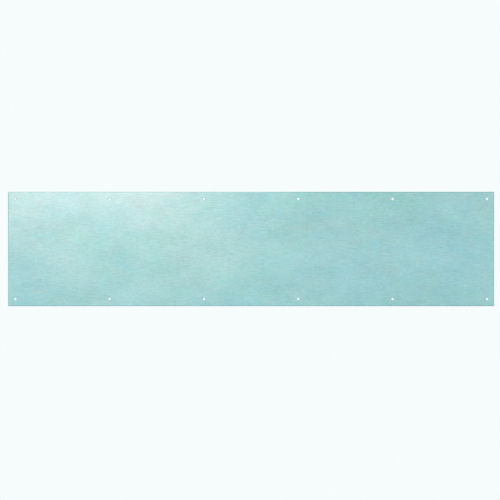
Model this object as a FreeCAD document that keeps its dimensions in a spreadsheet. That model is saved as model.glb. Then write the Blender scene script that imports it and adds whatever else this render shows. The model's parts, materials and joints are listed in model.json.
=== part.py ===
import FreeCAD, Part
import math
import os

import Sketcher

# Kick plate: one flat sheet of satin stainless steel, screwed to the foot of a door.
#
# Frame: X runs along the plate's length, +Z is up, and the face that is seen looks towards -Y.
# The back, which lies on the door, is the plane Y = 0, and the origin is at the middle of it.
# Lengths are in millimetres and angles in degrees.

SHEET_NAME = "Dimensions"
DRIVING_DIMENSIONS = [
    ("plate_length", 863.6, "34 in, the stock length for a 36 in door"),
    ("plate_height", 203.2, "8 in"),
    ("plate_thickness", 1.27, "0.050 in sheet"),
    ("bevel_width", 1.2, "width of the bevel, measured across the face"),
    ("bevel_depth", 0.75, "depth of the bevel, measured through the sheet"),
    ("hole_inset", 12.7, "1/2 in from a hole's centre to the plate's edge"),
    ("hole_columns", 6, "holes along the length"),
    ("hole_rows", 2, "holes up the height"),
    ("hole_diameter", 4.4, "clears a number 6 screw"),
    ("countersink_angle", 82, "full angle of the screw head's cone"),
    ("countersink_depth", 0.95, "leaves a short straight bore at the back"),
]

# Rough sizes that the sketches are first drawn at, before the sheet drives their constraints.
DRAWN_LENGTH = 200
DRAWN_HEIGHT = 100
DRAWN_REACH = 50
DRAWN_RADIUS = 2

NODE_NAME = "kick_plate"
FLAT_TOLERANCE = 1e-6
VOLUME_TOLERANCE = 1e-4


def make_sheet(doc):
    """Put every driving dimension in the spreadsheet: its name, its value and a note."""
    sheet = doc.addObject("Spreadsheet::Sheet", SHEET_NAME)
    for row, (alias, value, note) in enumerate(DRIVING_DIMENSIONS, start=1):
        sheet.set(f"A{row}", alias)
        sheet.set(f"B{row}", str(value))
        sheet.setAlias(f"B{row}", alias)
        sheet.set(f"C{row}", note)
    doc.recompute()
    return sheet


def bind(feature, path, formula):
    """Drive one property of a feature from the sheet; {name} in the formula is a cell's alias."""
    aliases = {alias: f"{SHEET_NAME}.{alias}" for alias, _, _ in DRIVING_DIMENSIONS}
    feature.setExpression(path, formula.format(**aliases))


def origin_feature(body, role):
    """Find a body's own origin plane or axis by its role."""
    for feature in body.Origin.OriginFeatures:
        if feature.Role == role:
            return feature
    raise LookupError(f"{body.Label} has no {role}")


def front_sketch(body, name):
    """Start a sketch on the plate's XZ plane: its X is the length, its Y is up, it faces -Y."""
    sketch = body.newObject("Sketcher::SketchObject", name)
    sketch.AttachmentSupport = [(origin_feature(body, "XZ_Plane"), "")]
    sketch.MapMode = "FlatFace"
    return sketch


def add_blank(doc, body):
    """Shear the rectangular blank, centred on the origin, and give it the sheet's thickness."""
    outline = front_sketch(body, "BlankOutline")
    corners = [(-1, -1), (1, -1), (1, 1), (-1, 1)]
    points = [FreeCAD.Vector(DRAWN_LENGTH / 2 * x, DRAWN_HEIGHT / 2 * y, 0) for x, y in corners]
    for start, end in zip(points, points[1:] + points[:1]):
        outline.addGeometry(Part.LineSegment(start, end), False)
    bottom, right, top, left = range(4)
    for side, following in ((bottom, right), (right, top), (top, left), (left, bottom)):
        outline.addConstraint(Sketcher.Constraint("Coincident", side, 2, following, 1))
    for side in (bottom, top):
        outline.addConstraint(Sketcher.Constraint("Horizontal", side))
    for side in (right, left):
        outline.addConstraint(Sketcher.Constraint("Vertical", side))
    outline.addConstraint(Sketcher.Constraint("Symmetric", bottom, 1, top, 1, -1, 1))
    length = outline.addConstraint(Sketcher.Constraint("DistanceX", bottom, 1, bottom, 2, DRAWN_LENGTH))
    height = outline.addConstraint(Sketcher.Constraint("DistanceY", right, 1, right, 2, DRAWN_HEIGHT))
    bind(outline, f"Constraints[{length}]", "{plate_length}")
    bind(outline, f"Constraints[{height}]", "{plate_height}")

    blank = body.newObject("PartDesign::Pad", "Blank")
    blank.Profile = outline
    bind(blank, "Length", "{plate_thickness}")
    doc.recompute()
    return blank


def add_bevel(doc, body, blank, front):
    """Grind the four edges of the front face; the bevels meet in a mitre at each square corner."""
    front_edges = [
        f"Edge{number}"
        for number, edge in enumerate(blank.Shape.Edges, start=1)
        if all(abs(vertex.Y - front) < FLAT_TOLERANCE for vertex in edge.Vertexes)
    ]
    bevel = body.newObject("PartDesign::Chamfer", "GroundBevel")
    bevel.Base = (blank, front_edges)
    bevel.ChamferType = "Two distances"
    bind(bevel, "Size", "{bevel_depth}")
    bind(bevel, "Size2", "{bevel_width}")
    doc.recompute()
    return bevel


def add_first_hole(doc, body):
    """Drill and countersink the hole at the lower left corner, from the front face."""
    centre = front_sketch(body, "HoleCentre")
    bind(centre, "AttachmentOffset.Base.z", "{plate_thickness}")
    drawn_centre = FreeCAD.Vector(-DRAWN_REACH, -DRAWN_REACH, 0)
    centre.addGeometry(Part.Circle(drawn_centre, FreeCAD.Vector(0, 0, 1), DRAWN_RADIUS), False)
    radius = centre.addConstraint(Sketcher.Constraint("Radius", 0, 2))
    across = centre.addConstraint(Sketcher.Constraint("DistanceX", 0, 3, -1, 1, DRAWN_REACH))
    up = centre.addConstraint(Sketcher.Constraint("DistanceY", 0, 3, -1, 1, DRAWN_REACH))
    bind(centre, f"Constraints[{radius}]", "{hole_diameter} / 2")
    bind(centre, f"Constraints[{across}]", "{plate_length} / 2 - {hole_inset}")
    bind(centre, f"Constraints[{up}]", "{plate_height} / 2 - {hole_inset}")
    doc.recompute()

    hole = body.newObject("PartDesign::Hole", "CountersunkHole")
    hole.Profile = centre
    doc.recompute()
    hole.ThreadType = "None"
    hole.DepthType = "ThroughAll"
    hole.HoleCutType = "Countersink"
    hole.HoleCutCustomValues = True
    bind(hole, "Diameter", "{hole_diameter}")
    bind(hole, "HoleCutCountersinkAngle", "{countersink_angle}")
    bind(
        hole,
        "HoleCutDiameter",
        "{hole_diameter} + 2 * {countersink_depth} * tan(0.5 deg * {countersink_angle})",
    )
    doc.recompute()
    return hole


def add_hole_rows(doc, body, hole):
    """Repeat the hole along both long edges, evenly spaced and the same distance from each end."""
    rows = body.newObject("PartDesign::MultiTransform", "HoleRows")
    rows.Originals = [hole]
    patterns = []
    for name, role, span, count in (
        ("AlongLength", "X_Axis", "{plate_length}", "{hole_columns}"),
        ("UpHeight", "Z_Axis", "{plate_height}", "{hole_rows}"),
    ):
        pattern = body.newObject("PartDesign::LinearPattern", name)
        pattern.Direction = (origin_feature(body, role), [""])
        bind(pattern, "Length", span + " - 2 * {hole_inset}")
        bind(pattern, "Occurrences", count)
        patterns.append(pattern)
    rows.Transformations = patterns
    body.Tip = rows
    doc.recompute()
    return rows


def check_objects(doc):
    """Stop if any object of the document failed to recompute."""
    for item in doc.Objects:
        if "Invalid" in item.State or "Error" in item.State:
            raise RuntimeError(f"{item.Label} failed: {item.State}")


def check_removed(name, before, after, expected):
    """Stop if a cut didn't take away the metal that it should."""
    removed = before.Shape.Volume - after.Shape.Volume
    print(f"{name}: removed {removed:.2f} mm3, expected {expected:.2f} mm3")
    if abs(removed - expected) > VOLUME_TOLERANCE * expected:
        raise RuntimeError(f"{name} removed the wrong volume")


def bevel_volume(size):
    """Metal under the four bevels: a full-length prism on each edge, less the mitred corners."""
    section = size["bevel_width"] * size["bevel_depth"] / 2
    edges = 2 * (size["plate_length"] + size["plate_height"]) * section
    corners = 4 * size["bevel_width"] ** 2 * size["bevel_depth"] / 3
    return edges - corners


def hole_volume(size):
    """Metal taken out by one hole: the countersink's cone and the straight bore behind it."""
    bore = size["hole_diameter"] / 2
    depth = size["countersink_depth"]
    mouth = bore + depth * math.tan(math.radians(size["countersink_angle"] / 2))
    cone = math.pi * depth * (mouth ** 2 + mouth * bore + bore ** 2) / 3
    return cone + math.pi * bore ** 2 * (size["plate_thickness"] - depth)


def main():
    doc = FreeCAD.newDocument("KickPlate")
    sheet = make_sheet(doc)
    size = {alias: float(sheet.get(alias)) for alias, _, _ in DRIVING_DIMENSIONS}

    body = doc.addObject("PartDesign::Body", NODE_NAME)
    body.Label = NODE_NAME
    body.Placement = FreeCAD.Placement()
    blank = add_blank(doc, body)
    bevel = add_bevel(doc, body, blank, front=-size["plate_thickness"])
    hole = add_first_hole(doc, body)
    rows = add_hole_rows(doc, body, hole)

    check_objects(doc)
    check_removed("bevel", blank, bevel, bevel_volume(size))
    hole_count = size["hole_columns"] * size["hole_rows"]
    check_removed("holes", bevel, rows, hole_count * hole_volume(size))
    if body.Shape.isNull() or not body.Shape.isValid():
        raise RuntimeError(f"{NODE_NAME} has no valid shape")

    os.makedirs("parts", exist_ok=True)
    body.Shape.exportStep(os.path.join("parts", NODE_NAME + ".step"))
    box = body.Shape.BoundBox
    print(f"{NODE_NAME}: {box.XLength:.2f} x {box.YLength:.2f} x {box.ZLength:.2f} mm")


main()
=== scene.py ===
import json
import math

import bmesh
import bpy
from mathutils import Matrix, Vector


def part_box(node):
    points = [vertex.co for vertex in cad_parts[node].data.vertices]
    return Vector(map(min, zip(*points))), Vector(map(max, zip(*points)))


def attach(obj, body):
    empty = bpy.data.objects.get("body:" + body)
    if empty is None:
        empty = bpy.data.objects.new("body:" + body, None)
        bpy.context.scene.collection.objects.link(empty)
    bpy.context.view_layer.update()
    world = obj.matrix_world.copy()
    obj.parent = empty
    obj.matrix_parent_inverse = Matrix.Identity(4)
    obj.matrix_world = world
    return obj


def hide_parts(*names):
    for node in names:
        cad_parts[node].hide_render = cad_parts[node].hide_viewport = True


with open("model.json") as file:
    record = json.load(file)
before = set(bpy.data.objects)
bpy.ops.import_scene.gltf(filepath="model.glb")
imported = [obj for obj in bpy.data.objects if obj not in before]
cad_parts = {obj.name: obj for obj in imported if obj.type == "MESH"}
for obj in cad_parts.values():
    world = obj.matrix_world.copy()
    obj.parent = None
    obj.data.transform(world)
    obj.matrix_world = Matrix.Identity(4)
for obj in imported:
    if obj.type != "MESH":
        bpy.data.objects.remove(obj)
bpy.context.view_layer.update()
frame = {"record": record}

# A door kick plate: one flat sheet of satin metal with ground bevels and countersunk screw holes.
# The frame is the CAD's: X along the plate, +Z up, front face towards -Y, back face at Y = 0.
# Lengths are in metres.

BODY = "root"
CAD_NODE = "kick_plate"
MILLIMETRE = 0.001

# The plate's own sizes, besides those that the frame gives.
BEVEL_WIDTH = 1.2 * MILLIMETRE
BEVEL_DEPTH = 0.75 * MILLIMETRE
SINK_DEPTH = 0.95 * MILLIMETRE
SINK_HALF_ANGLE = math.radians(41)

# How far each edge is eased, as a radius.
FACE_EASE = 0.5 * MILLIMETRE
LIP_EASE = 0.1 * MILLIMETRE
BACK_EASE = 0.08 * MILLIMETRE
RIM_EASE = 0.12 * MILLIMETRE
THROAT_EASE = 0.05 * MILLIMETRE
CORNER_EASE = 0.3 * MILLIMETRE
EASE_STEPS = 4

# The mesh of the flat faces: a grid that closes up round each hole and opens out between holes.
BORDER = 2.2 * MILLIMETRE
PATCH_HALF = 6 * MILLIMETRE
PATCH_CELLS = 16
PATCH_RINGS = 3
COARSE_CELL = 16 * MILLIMETRE
RIM_SUPPORT = 0.35 * MILLIMETRE
WELD = 0.001 * MILLIMETRE

FACE, BEVEL, EDGE, SINK, BACK = range(5)
GRAIN_MAP = "grain"


# ---------------------------------------------------------------- sizes from the frame

def plate_size():
    """The plate's length, height and thickness, as the CAD has them."""
    low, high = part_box(CAD_NODE)
    extent = high - low
    return extent.x, extent.z, extent.y


def hole_layout():
    """The hole centres' X and Z positions and the bore's radius, from the record's screw patterns."""
    across, up, radii = set(), set(), set()
    for mount in frame["record"]["mounts"]:
        if mount["kind"] != "bolt_pattern":
            continue
        for side in (-1, 1):
            across.add(mount["pos_m"][0] + side * mount["dims"]["spacing_x_mm"] * MILLIMETRE / 2)
            up.add(mount["pos_m"][2] + side * mount["dims"]["spacing_y_mm"] * MILLIMETRE / 2)
        radii.add(mount["dims"]["hole_r_mm"] * MILLIMETRE)
    return sorted(across), sorted(up), max(radii)


# ---------------------------------------------------------------- profiles, lines and rings

def eased(corners):
    """A 2-D profile through (point, radius) corners, with an arc of that radius at each inner one."""
    points = [corners[0][0]]
    for (before, _), (corner, radius), (after, _) in zip(corners, corners[1:], corners[2:]):
        back = (before - corner).normalized()
        ahead = (after - corner).normalized()
        half = back.angle(ahead) / 2
        centre = corner + (back + ahead).normalized() * (radius / math.sin(half))
        arms = [corner + way * (radius / math.tan(half)) - centre for way in (back, ahead)]
        start, end = (math.atan2(arm.y, arm.x) for arm in arms)
        sweep = (end - start + math.pi) % math.tau - math.pi
        for step in range(EASE_STEPS + 1):
            turn = start + sweep * step / EASE_STEPS
            points.append(centre + radius * Vector((math.cos(turn), math.sin(turn))))
    points.append(corners[-1][0])
    return points


def lengths_along(points):
    """How far along a line of points each of them is."""
    total = [0.0]
    for before, after in zip(points, points[1:]):
        total.append(total[-1] + (after - before).length)
    return total


def spread(start, end, cells):
    """Evenly spaced positions from start up to, but not including, end."""
    return [start + (end - start) * step / cells for step in range(cells)]


def grid_lines(centres, limit):
    """Grid line positions along one axis: close together across each hole, wide apart between."""
    lines = []
    here = -limit
    for centre in centres:
        near, far = centre - PATCH_HALF, centre + PATCH_HALF
        lines += spread(here, near, math.ceil((near - here) / COARSE_CELL))
        lines += spread(near, far, PATCH_CELLS)
        here = far
    lines += spread(here, limit, math.ceil((limit - here) / COARSE_CELL))
    return lines + [limit]


def outline_ring(half_x, half_z, depth, corner, x_lines, z_lines):
    """A ring round the plate: grid points along its sides, and an arc at each corner."""
    points = []
    for side, lines in enumerate((x_lines, z_lines, x_lines[::-1], z_lines[::-1])):
        for line in lines:
            x, z = ((line, -half_z), (half_x, line), (line, half_z), (-half_x, line))[side]
            points.append(Vector((x, depth, z)))
        sign_x, sign_z = ((1, -1), (1, 1), (-1, 1), (-1, -1))[side]
        centre = Vector((sign_x * (half_x - corner), depth, sign_z * (half_z - corner)))
        for step in range(EASE_STEPS + 1):
            turn = math.radians(90) * (side - 1 + step / EASE_STEPS)
            points.append(centre + corner * Vector((math.cos(turn), 0, math.sin(turn))))
    return points


def circle_ring(centre, radius, depth):
    """A ring round a hole, from its lower left, with one point for each point of its patch."""
    count = 4 * PATCH_CELLS
    points = []
    for k in range(count):
        turn = math.tau * (k / count - 3 / 8)
        points.append(Vector((centre.x + radius * math.cos(turn), depth, centre.y + radius * math.sin(turn))))
    return points


def patch_ring(centre, depth):
    """The square ring where the patch round a hole joins the grid, from its lower left."""
    steps = [PATCH_HALF * (2 * k / PATCH_CELLS - 1) for k in range(PATCH_CELLS)]
    bottom = [(step, -PATCH_HALF) for step in steps]
    right = [(PATCH_HALF, step) for step in steps]
    top = [(-step, PATCH_HALF) for step in steps]
    left = [(-PATCH_HALF, -step) for step in steps]
    return [Vector((centre.x + x, depth, centre.y + z)) for x, z in bottom + right + top + left]


# ---------------------------------------------------------------- the plate's mesh

class PlateMesh:
    """Collects the plate's faces, each with its material and its place on the grain map.

    On the grain map, U runs along the grain and V across it, in metres.
    """

    def __init__(self):
        self.bm = bmesh.new()
        self.grain = self.bm.loops.layers.uv.new(GRAIN_MAP)

    def quad(self, corners, material, grain=None):
        """One face. Without grain, its grain runs along X, as on the plate's flat faces."""
        face = self.bm.faces.new([self.bm.verts.new(corner) for corner in corners])
        face.material_index = material
        face.smooth = True
        for loop, place in zip(face.loops, grain or [(corner.x, corner.z) for corner in corners]):
            loop[self.grain].uv = place

    def bridge(self, outer, inner, material, down=None):
        """Quads between two closed rings. With down, the two rings' V, the grain runs round them."""
        around = lengths_along(outer + outer[:1])
        for k in range(len(outer)):
            following = (k + 1) % len(outer)
            corners = (outer[k], outer[following], inner[following], inner[k])
            grain = None
            if down:
                near, far = around[k], around[k + 1]
                grain = [(near, down[0]), (far, down[0]), (far, down[1]), (near, down[1])]
            self.quad(corners, material, grain)

    def finish(self, name, materials):
        """Weld everything into one closed mesh and return it as an object."""
        bmesh.ops.remove_doubles(self.bm, verts=self.bm.verts, dist=WELD)
        bmesh.ops.recalc_face_normals(self.bm, faces=self.bm.faces)
        open_edges = [edge for edge in self.bm.edges if not edge.is_manifold]
        if open_edges:
            raise RuntimeError(f"{name} has {len(open_edges)} open edges")
        mesh = bpy.data.meshes.new(name)
        self.bm.to_mesh(mesh)
        self.bm.free()
        for material in materials:
            mesh.materials.append(material)
        piece = bpy.data.objects.new(name, mesh)
        bpy.context.scene.collection.objects.link(piece)
        piece.modifiers.new("even_shading", "WEIGHTED_NORMAL")
        return piece


def add_flat(mesh, x_lines, z_lines, holes, depth, material):
    """The grid of one flat face, left open at the patch round each hole."""
    for left, right in zip(x_lines, x_lines[1:]):
        for low, high in zip(z_lines, z_lines[1:]):
            middle = Vector(((left + right) / 2, (low + high) / 2))
            if any(max(abs(middle.x - hole.x), abs(middle.y - hole.y)) < PATCH_HALF for hole in holes):
                continue
            places = ((left, low), (right, low), (right, high), (left, high))
            mesh.quad([Vector((x, depth, z)) for x, z in places], material)


def add_edge(mesh, half_x, half_z, thickness, x_lines, z_lines):
    """All that lies round the grids: the face's border, bevel, sheared edge and the back's border."""
    profile = eased([
        (Vector((BORDER, -thickness)), 0),
        (Vector((BEVEL_WIDTH, -thickness)), FACE_EASE),
        (Vector((0, BEVEL_DEPTH - thickness)), LIP_EASE),
        (Vector((0, 0)), BACK_EASE),
        (Vector((BORDER, 0)), 0),
    ])
    materials = [FACE] + [BEVEL] * (EASE_STEPS + 1) + [EDGE] * (2 * EASE_STEPS + 1) + [BACK]
    down = lengths_along(profile)
    corners = [0] + [CORNER_EASE] * (len(profile) - 2) + [0]
    rings = [
        outline_ring(half_x - inset, half_z - inset, depth, corner, x_lines, z_lines)
        for (inset, depth), corner in zip(profile, corners)
    ]
    for index, material in enumerate(materials):
        flat = material in (FACE, BACK)
        mesh.bridge(rings[index], rings[index + 1], material, None if flat else down[index:index + 2])


def add_hole(mesh, centre, bore, thickness):
    """A countersunk hole and the patch of each flat face round it."""
    mouth = bore + SINK_DEPTH * math.tan(SINK_HALF_ANGLE)
    profile = eased([
        (Vector((mouth + RIM_SUPPORT, -thickness)), 0),
        (Vector((mouth, -thickness)), RIM_EASE),
        (Vector((bore, SINK_DEPTH - thickness)), THROAT_EASE),
        (Vector((bore, 0)), BACK_EASE),
        (Vector((bore + RIM_SUPPORT, 0)), 0),
    ])
    materials = [FACE] + [SINK] * (3 * EASE_STEPS + 2) + [BACK]
    down = lengths_along(profile)
    rings = [circle_ring(centre, radius, depth) for radius, depth in profile]
    for index, material in enumerate(materials):
        flat = material in (FACE, BACK)
        mesh.bridge(rings[index], rings[index + 1], material, None if flat else down[index:index + 2])
    for depth, rim, material in ((-thickness, rings[0], FACE), (0, rings[-1], BACK)):
        square = patch_ring(centre, depth)
        steps = [step / PATCH_RINGS for step in range(PATCH_RINGS + 1)]
        blends = [[a.lerp(b, step) for a, b in zip(square, rim)] for step in steps]
        for outer, inner in zip(blends, blends[1:]):
            mesh.bridge(outer, inner, material)


def make_plate(materials):
    """The whole plate as one closed mesh."""
    length, height, thickness = plate_size()
    across, up, bore = hole_layout()
    holes = [Vector((x, z)) for x in across for z in up]
    x_lines = grid_lines(across, length / 2 - BORDER)
    z_lines = grid_lines(up, height / 2 - BORDER)
    mesh = PlateMesh()
    add_flat(mesh, x_lines, z_lines, holes, -thickness, FACE)
    add_flat(mesh, x_lines, z_lines, holes, 0, BACK)
    add_edge(mesh, length / 2, height / 2, thickness, x_lines, z_lines)
    for hole in holes:
        add_hole(mesh, hole, bore, thickness)
    return mesh.finish("brushed_plate", materials)


# ---------------------------------------------------------------- materials

# The metal's pale aqua silver, from the deepest streak to the palest.
DEEP = (0.375, 0.585, 0.575)
PALE = (0.560, 0.820, 0.805)

# Tints that the metal's hue drifts between.
GREEN_TINT = (0.900, 1.010, 0.960)
BLUE_TINT = (0.880, 0.985, 1.030)
PINK_TINT = (1.100, 0.990, 1.000)

# The darker colours of the bevels, the sheared edge and the holes: painted shade, which draws a dark line
# round the plate's outline and darkens the inside of each hole.
SHADED_CUT_DEEP = (0.290, 0.540, 0.560)
SHADED_CUT_PALE = (0.440, 0.630, 0.620)

# Each scale of mark: how long and how wide one is.
HAIR = (24 * MILLIMETRE, 0.16 * MILLIMETRE)
LINE = (20 * MILLIMETRE, 1.5 * MILLIMETRE)
STREAK = (6 * MILLIMETRE, 1.9 * MILLIMETRE)
FLECK = (12 * MILLIMETRE, 6 * MILLIMETRE)
PATCH = (32 * MILLIMETRE, 20 * MILLIMETRE)
CLOUD = (85 * MILLIMETRE, 55 * MILLIMETRE)
TONE = (150 * MILLIMETRE, 110 * MILLIMETRE)
BEVEL_HAIR = (30 * MILLIMETRE, 0.06 * MILLIMETRE)
BEVEL_LINE = (12 * MILLIMETRE, 0.2 * MILLIMETRE)
SHEAR_TEAR = (0.3 * MILLIMETRE, 1.2 * MILLIMETRE)
SHEAR_DRIFT = (9 * MILLIMETRE, 3 * MILLIMETRE)
CUTTER_RING = (18 * MILLIMETRE, 0.07 * MILLIMETRE)
CUTTER_CHATTER = (0.9 * MILLIMETRE, 1.0 * MILLIMETRE)
MILL_ROLL = (140 * MILLIMETRE, 1.1 * MILLIMETRE)
MILL_MOTTLE = (3.5 * MILLIMETRE, 2.6 * MILLIMETRE)

# How far apart in the noise two following seeds look, along each of its axes.
SEED_STEP = Vector((3.7, 5.3, 1.0))

# A quarter turn from the grain, so that highlights spread across it.
ACROSS_GRAIN = 0.25


class Metal:
    """A metal material whose node tree is built one step at a time."""

    def __init__(self, name):
        self.material = bpy.data.materials.new(name)
        self.material.use_nodes = True
        self.tree = self.material.node_tree
        self.shader = self.tree.nodes["Principled BSDF"]
        self.shader.inputs["Metallic"].default_value = 1.0
        self.grain_map = self.add("ShaderNodeUVMap", uv_map=GRAIN_MAP).outputs["UV"]

    def add(self, kind, **settings):
        node = self.tree.nodes.new(kind)
        for name, value in settings.items():
            setattr(node, name, value)
        return node

    def join(self, source, target):
        self.tree.links.new(source, target)

    def marks(self, size, seed, detail=2.0):
        """Noise from 0 to 1 whose marks are size[0] long along the grain and size[1] wide."""
        place = self.add("ShaderNodeMapping")
        place.inputs["Location"].default_value = seed * SEED_STEP
        place.inputs["Scale"].default_value = (1 / size[0], 1 / size[1], 1)
        noise = self.add("ShaderNodeTexNoise")
        noise.inputs["Scale"].default_value = 1.0
        noise.inputs["Detail"].default_value = detail
        self.join(self.grain_map, place.inputs["Vector"])
        self.join(place.outputs["Vector"], noise.inputs["Vector"])
        return noise.outputs["Fac"]

    def weigh(self, parts, middle):
        """middle plus each part's swing about its own middle, times its weight."""
        total = None
        rest = middle - sum(weight for _, weight in parts) / 2
        for value, weight in parts:
            step = self.add("ShaderNodeMath", operation="MULTIPLY_ADD")
            self.join(value, step.inputs[0])
            step.inputs[1].default_value = weight
            if total is None:
                step.inputs[2].default_value = rest
            else:
                self.join(total, step.inputs[2])
            total = step.outputs[0]
        return total

    def drift(self, parts, middle):
        """Like weigh, for smooth marks that are each given as a size, a seed and a weight."""
        smooth = [(self.marks(size, seed, detail=0.0), weight) for size, seed, weight in parts]
        return self.weigh(smooth, middle)

    def blend(self, first, second, **settings):
        """A colour mix of two colours, each a plain colour or another step's output."""
        node = self.add("ShaderNodeMix", data_type="RGBA", **settings)
        for end, value in (("A", first), ("B", second)):
            socket = next(s for s in node.inputs if s.name == end and s.type == "RGBA")
            if isinstance(value, tuple):
                socket.default_value = (*value, 1)
            else:
                self.join(value, socket)
        return node, next(s for s in node.outputs if s.type == "RGBA")

    def mix(self, share, low, high):
        """The colour that lies share of the way from low to high."""
        node, colour = self.blend(low, high)
        self.join(share, node.inputs["Factor"])
        return colour

    def tint(self, colour, hue):
        """The colour times the hue."""
        node, tinted = self.blend(colour, hue, blend_type="MULTIPLY")
        node.inputs["Factor"].default_value = 1.0
        return tinted

    def finish(self, colour, roughness, height, relief, stretch):
        """Feed the shader. stretch spreads highlights across the grain, as fine parallel marks do."""
        self.join(colour, self.shader.inputs["Base Color"])
        self.join(roughness, self.shader.inputs["Roughness"])
        bump = self.add("ShaderNodeBump")
        bump.inputs["Distance"].default_value = relief
        self.join(height, bump.inputs["Height"])
        self.join(bump.outputs["Normal"], self.shader.inputs["Normal"])
        tangent = self.add("ShaderNodeTangent", direction_type="UV_MAP", uv_map=GRAIN_MAP)
        self.join(tangent.outputs["Tangent"], self.shader.inputs["Tangent"])
        self.shader.inputs["Anisotropic"].default_value = stretch
        self.shader.inputs["Anisotropic Rotation"].default_value = ACROSS_GRAIN
        return self.material


def satin_face():
    """The front: hairlines, lines and short streaks along X, over slow patches of tone and hue."""
    metal = Metal("satin_face")
    hair = metal.marks(HAIR, 1, detail=3.0)
    line = metal.marks(LINE, 2)
    streak = metal.marks(STREAK, 3)
    fleck = metal.marks(FLECK, 4)
    patch = metal.marks(PATCH, 5)
    cloud = metal.marks(CLOUD, 6, detail=3.0)
    fine = [(hair, 0.9), (line, 0.9), (streak, 1.0)]
    slow = [(fleck, 0.3), (patch, 0.25), (cloud, 0.75)]
    shade = metal.weigh(fine + slow, 0.5)
    blue = metal.drift([(FLECK, 7, 1.0), (PATCH, 8, 1.7), (TONE, 9, 2.5)], 0.5)
    pink = metal.drift([(FLECK, 10, 0.5), (PATCH, 11, 0.8), (TONE, 12, 0.8)], 0.5)
    hue = metal.mix(pink, metal.mix(blue, GREEN_TINT, BLUE_TINT), PINK_TINT)
    colour = metal.tint(metal.mix(shade, DEEP, PALE), hue)
    roughness = metal.weigh([(line, 0.08), (streak, 0.06), (cloud, 0.10)], 0.40)
    height = metal.weigh([(hair, 0.6), (line, 0.4)], 0.5)
    return metal.finish(colour, roughness, height, 0.02 * MILLIMETRE, 0.7)


def ground_bevel():
    """The bevels: ground along each edge, with finer and more even marks, and a darker tone that is painted
    shade along the outline.
    """
    metal = Metal("ground_bevel")
    hair = metal.marks(BEVEL_HAIR, 11)
    line = metal.marks(BEVEL_LINE, 12)
    # Painted shade: the bevels run between the two darker cut colours, which draw a dark line round the
    # outline.
    colour = metal.mix(metal.weigh([(hair, 0.8), (line, 0.8)], 0.5), SHADED_CUT_DEEP, SHADED_CUT_PALE)
    roughness = metal.weigh([(hair, 0.12), (line, 0.12)], 0.32)
    return metal.finish(colour, roughness, hair, 0.01 * MILLIMETRE, 0.6)


def sheared_edge():
    """The thin edge behind the bevel: a duller cut with marks across the sheet's thickness."""
    metal = Metal("sheared_edge")
    tear = metal.marks(SHEAR_TEAR, 21)
    drift = metal.marks(SHEAR_DRIFT, 22)
    # Painted shade: the sheared edge is darkened towards the darker cut colour, along the plate's outline.
    colour = metal.mix(metal.weigh([(tear, 0.9), (drift, 0.7)], 0.35), SHADED_CUT_DEEP, PALE)
    roughness = metal.weigh([(tear, 0.2), (drift, 0.15)], 0.5)
    return metal.finish(colour, roughness, tear, 0.02 * MILLIMETRE, 0.0)


def turned_sink():
    """The countersinks and bores: bright turned rings left by the cutter."""
    metal = Metal("turned_sink")
    ring = metal.marks(CUTTER_RING, 31)
    chatter = metal.marks(CUTTER_CHATTER, 32)
    # Painted shade: the countersinks and bores are darkened towards the darker cut colour, inside each hole.
    colour = metal.mix(metal.weigh([(ring, 1.2), (chatter, 0.4)], 0.5), SHADED_CUT_DEEP, PALE)
    roughness = metal.weigh([(ring, 0.14), (chatter, 0.08)], 0.3)
    return metal.finish(colour, roughness, ring, 0.012 * MILLIMETRE, 0.6)


def mill_back():
    """The back: the mill's own dull finish, with long rolling lines and a faint mottle."""
    metal = Metal("mill_back")
    roll = metal.marks(MILL_ROLL, 41, detail=4.0)
    mottle = metal.marks(MILL_MOTTLE, 42, detail=4.0)
    cloud = metal.marks(CLOUD, 43, detail=3.0)
    shade = metal.weigh([(roll, 0.8), (mottle, 0.4), (cloud, 0.45)], 0.35)
    colour = metal.mix(shade, DEEP, PALE)
    roughness = metal.weigh([(roll, 0.08), (mottle, 0.10), (cloud, 0.10)], 0.5)
    return metal.finish(colour, roughness, mottle, 0.01 * MILLIMETRE, 0.25)


# ---------------------------------------------------------------- floor, light and camera

# The backdrop is what the camera sees; the dome and its crown are what the metal and floor see.
BACKGROUND = (0.925, 0.970, 0.970)
FLOOR_COLOUR = (0.86, 0.86, 0.86)
FLOOR_GLOW = 0.25
FLOOR_HALF = 14.0

DOME_COLOUR = (0.59, 0.82, 0.87)
CROWN_COLOUR = (0.98, 0.86, 0.80)
CROWN_WAY = Vector((0, 0.6, 0.8))
CROWN_START = 0.2

# Both softboxes are warm, against the dome's cool light.
KEY_COLOUR = (1.0, 0.68, 0.61)
GLARE_COLOUR = (1.0, 0.54, 0.48)

# How wide the picture is at the plate, and how far its middle is from the plate's.
FRAME_WIDTH = 0.8885
VIEW_OFFSET = Vector((-0.0020, 0, -0.0018))
VIEW_DISTANCE = 3.0


def make_floor():
    """A plain pale floor that the plate's lower edge stands on."""
    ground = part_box(CAD_NODE)[0].z
    mesh = bpy.data.meshes.new("floor")
    corners = [(x * FLOOR_HALF, y * FLOOR_HALF, ground) for x, y in ((-1, -1), (1, -1), (1, 1), (-1, 1))]
    mesh.from_pydata(corners, [], [(0, 1, 2, 3)])
    material = bpy.data.materials.new("floor")
    material.use_nodes = True
    shader = material.node_tree.nodes["Principled BSDF"]
    shader.inputs["Base Color"].default_value = (*FLOOR_COLOUR, 1)
    shader.inputs["Roughness"].default_value = 0.9
    shader.inputs["Specular IOR Level"].default_value = 0.1
    shader.inputs["Emission Color"].default_value = (1, 1, 1, 1)
    shader.inputs["Emission Strength"].default_value = FLOOR_GLOW
    mesh.materials.append(material)
    floor = bpy.data.objects.new("floor", mesh)
    bpy.context.scene.collection.objects.link(floor)


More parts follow.
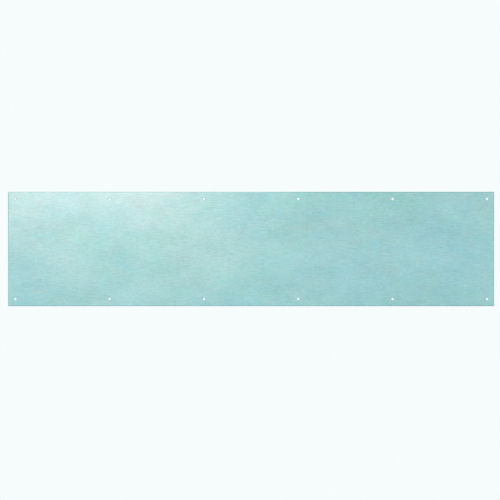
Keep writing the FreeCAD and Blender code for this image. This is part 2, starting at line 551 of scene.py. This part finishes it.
def make_world():
    """A near-white backdrop to look at, and a soft dome to light the metal.

    The dome is even and cool in front and below, and turns to a warmer, brighter crown high up
    behind the plate, which lights the floor.
    """
    world = bpy.data.worlds.new("studio")
    bpy.context.scene.world = world
    world.use_nodes = True
    tree = world.node_tree
    tree.nodes.clear()
    backdrop = tree.nodes.new("ShaderNodeBackground")
    backdrop.inputs["Color"].default_value = (*BACKGROUND, 1)
    dome = tree.nodes.new("ShaderNodeBackground")
    way = tree.nodes.new("ShaderNodeTexCoord")
    toward = tree.nodes.new("ShaderNodeVectorMath")
    toward.operation = "DOT_PRODUCT"
    toward.inputs[1].default_value = CROWN_WAY
    tree.links.new(way.outputs["Generated"], toward.inputs[0])
    ramp = tree.nodes.new("ShaderNodeValToRGB")
    low, high = ramp.color_ramp.elements
    low.position, low.color = CROWN_START, (*DOME_COLOUR, 1)
    high.position, high.color = 1.0, (*CROWN_COLOUR, 1)
    tree.links.new(toward.outputs["Value"], ramp.inputs["Fac"])
    tree.links.new(ramp.outputs["Color"], dome.inputs["Color"])
    seen = tree.nodes.new("ShaderNodeLightPath")
    choose = tree.nodes.new("ShaderNodeMixShader")
    tree.links.new(seen.outputs["Is Camera Ray"], choose.inputs["Fac"])
    tree.links.new(dome.outputs["Background"], choose.inputs[1])
    tree.links.new(backdrop.outputs["Background"], choose.inputs[2])
    out = tree.nodes.new("ShaderNodeOutputWorld")
    tree.links.new(choose.outputs["Shader"], out.inputs["Surface"])


def make_softbox(name, place, target, size, power, colour, spread=180):
    """A rectangular softbox that faces its target and isn't itself seen.

    spread is the angle, in degrees, that the grid on its front lets the light fan out to.
    """
    data = bpy.data.lights.new(name, "AREA")
    data.shape = "RECTANGLE"
    data.size, data.size_y = size
    data.energy = power
    data.color = colour
    data.spread = math.radians(spread)
    light = bpy.data.objects.new(name, data)
    light.location = place
    light.rotation_euler = (Vector(target) - Vector(place)).to_track_quat("-Z", "Y").to_euler()
    light.visible_camera = False
    bpy.context.scene.collection.objects.link(light)


def make_lights():
    """A broad warm key close above the plate's left half, and a narrow glare at its top left."""
    make_softbox("key", (-0.25, -0.35, 0.40), (-0.25, 0, 0.08), (0.6, 0.25), 0.90, KEY_COLOUR)
    make_softbox("glare", (-0.35, -0.60, 0.30), (-0.35, 0, 0.22), (0.5, 0.2), 0.066, GLARE_COLOUR, spread=40)


def make_camera():
    """Straight on, from far off, framed as the plate is seen."""
    low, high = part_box(CAD_NODE)
    aim = (low + high) / 2 + VIEW_OFFSET
    data = bpy.data.cameras.new("camera")
    data.type = "ORTHO"
    data.ortho_scale = FRAME_WIDTH
    camera = bpy.data.objects.new("camera", data)
    camera.location = aim + Vector((0, -VIEW_DISTANCE, 0))
    camera.rotation_euler = (math.radians(90), 0, 0)
    bpy.context.scene.collection.objects.link(camera)
    bpy.context.scene.camera = camera


def main():
    plate = make_plate([satin_face(), ground_bevel(), sheared_edge(), turned_sink(), mill_back()])
    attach(plate, BODY)
    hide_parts(CAD_NODE)
    make_floor()
    make_world()
    make_lights()
    make_camera()
    bpy.context.scene.view_settings.view_transform = "Standard"


main()
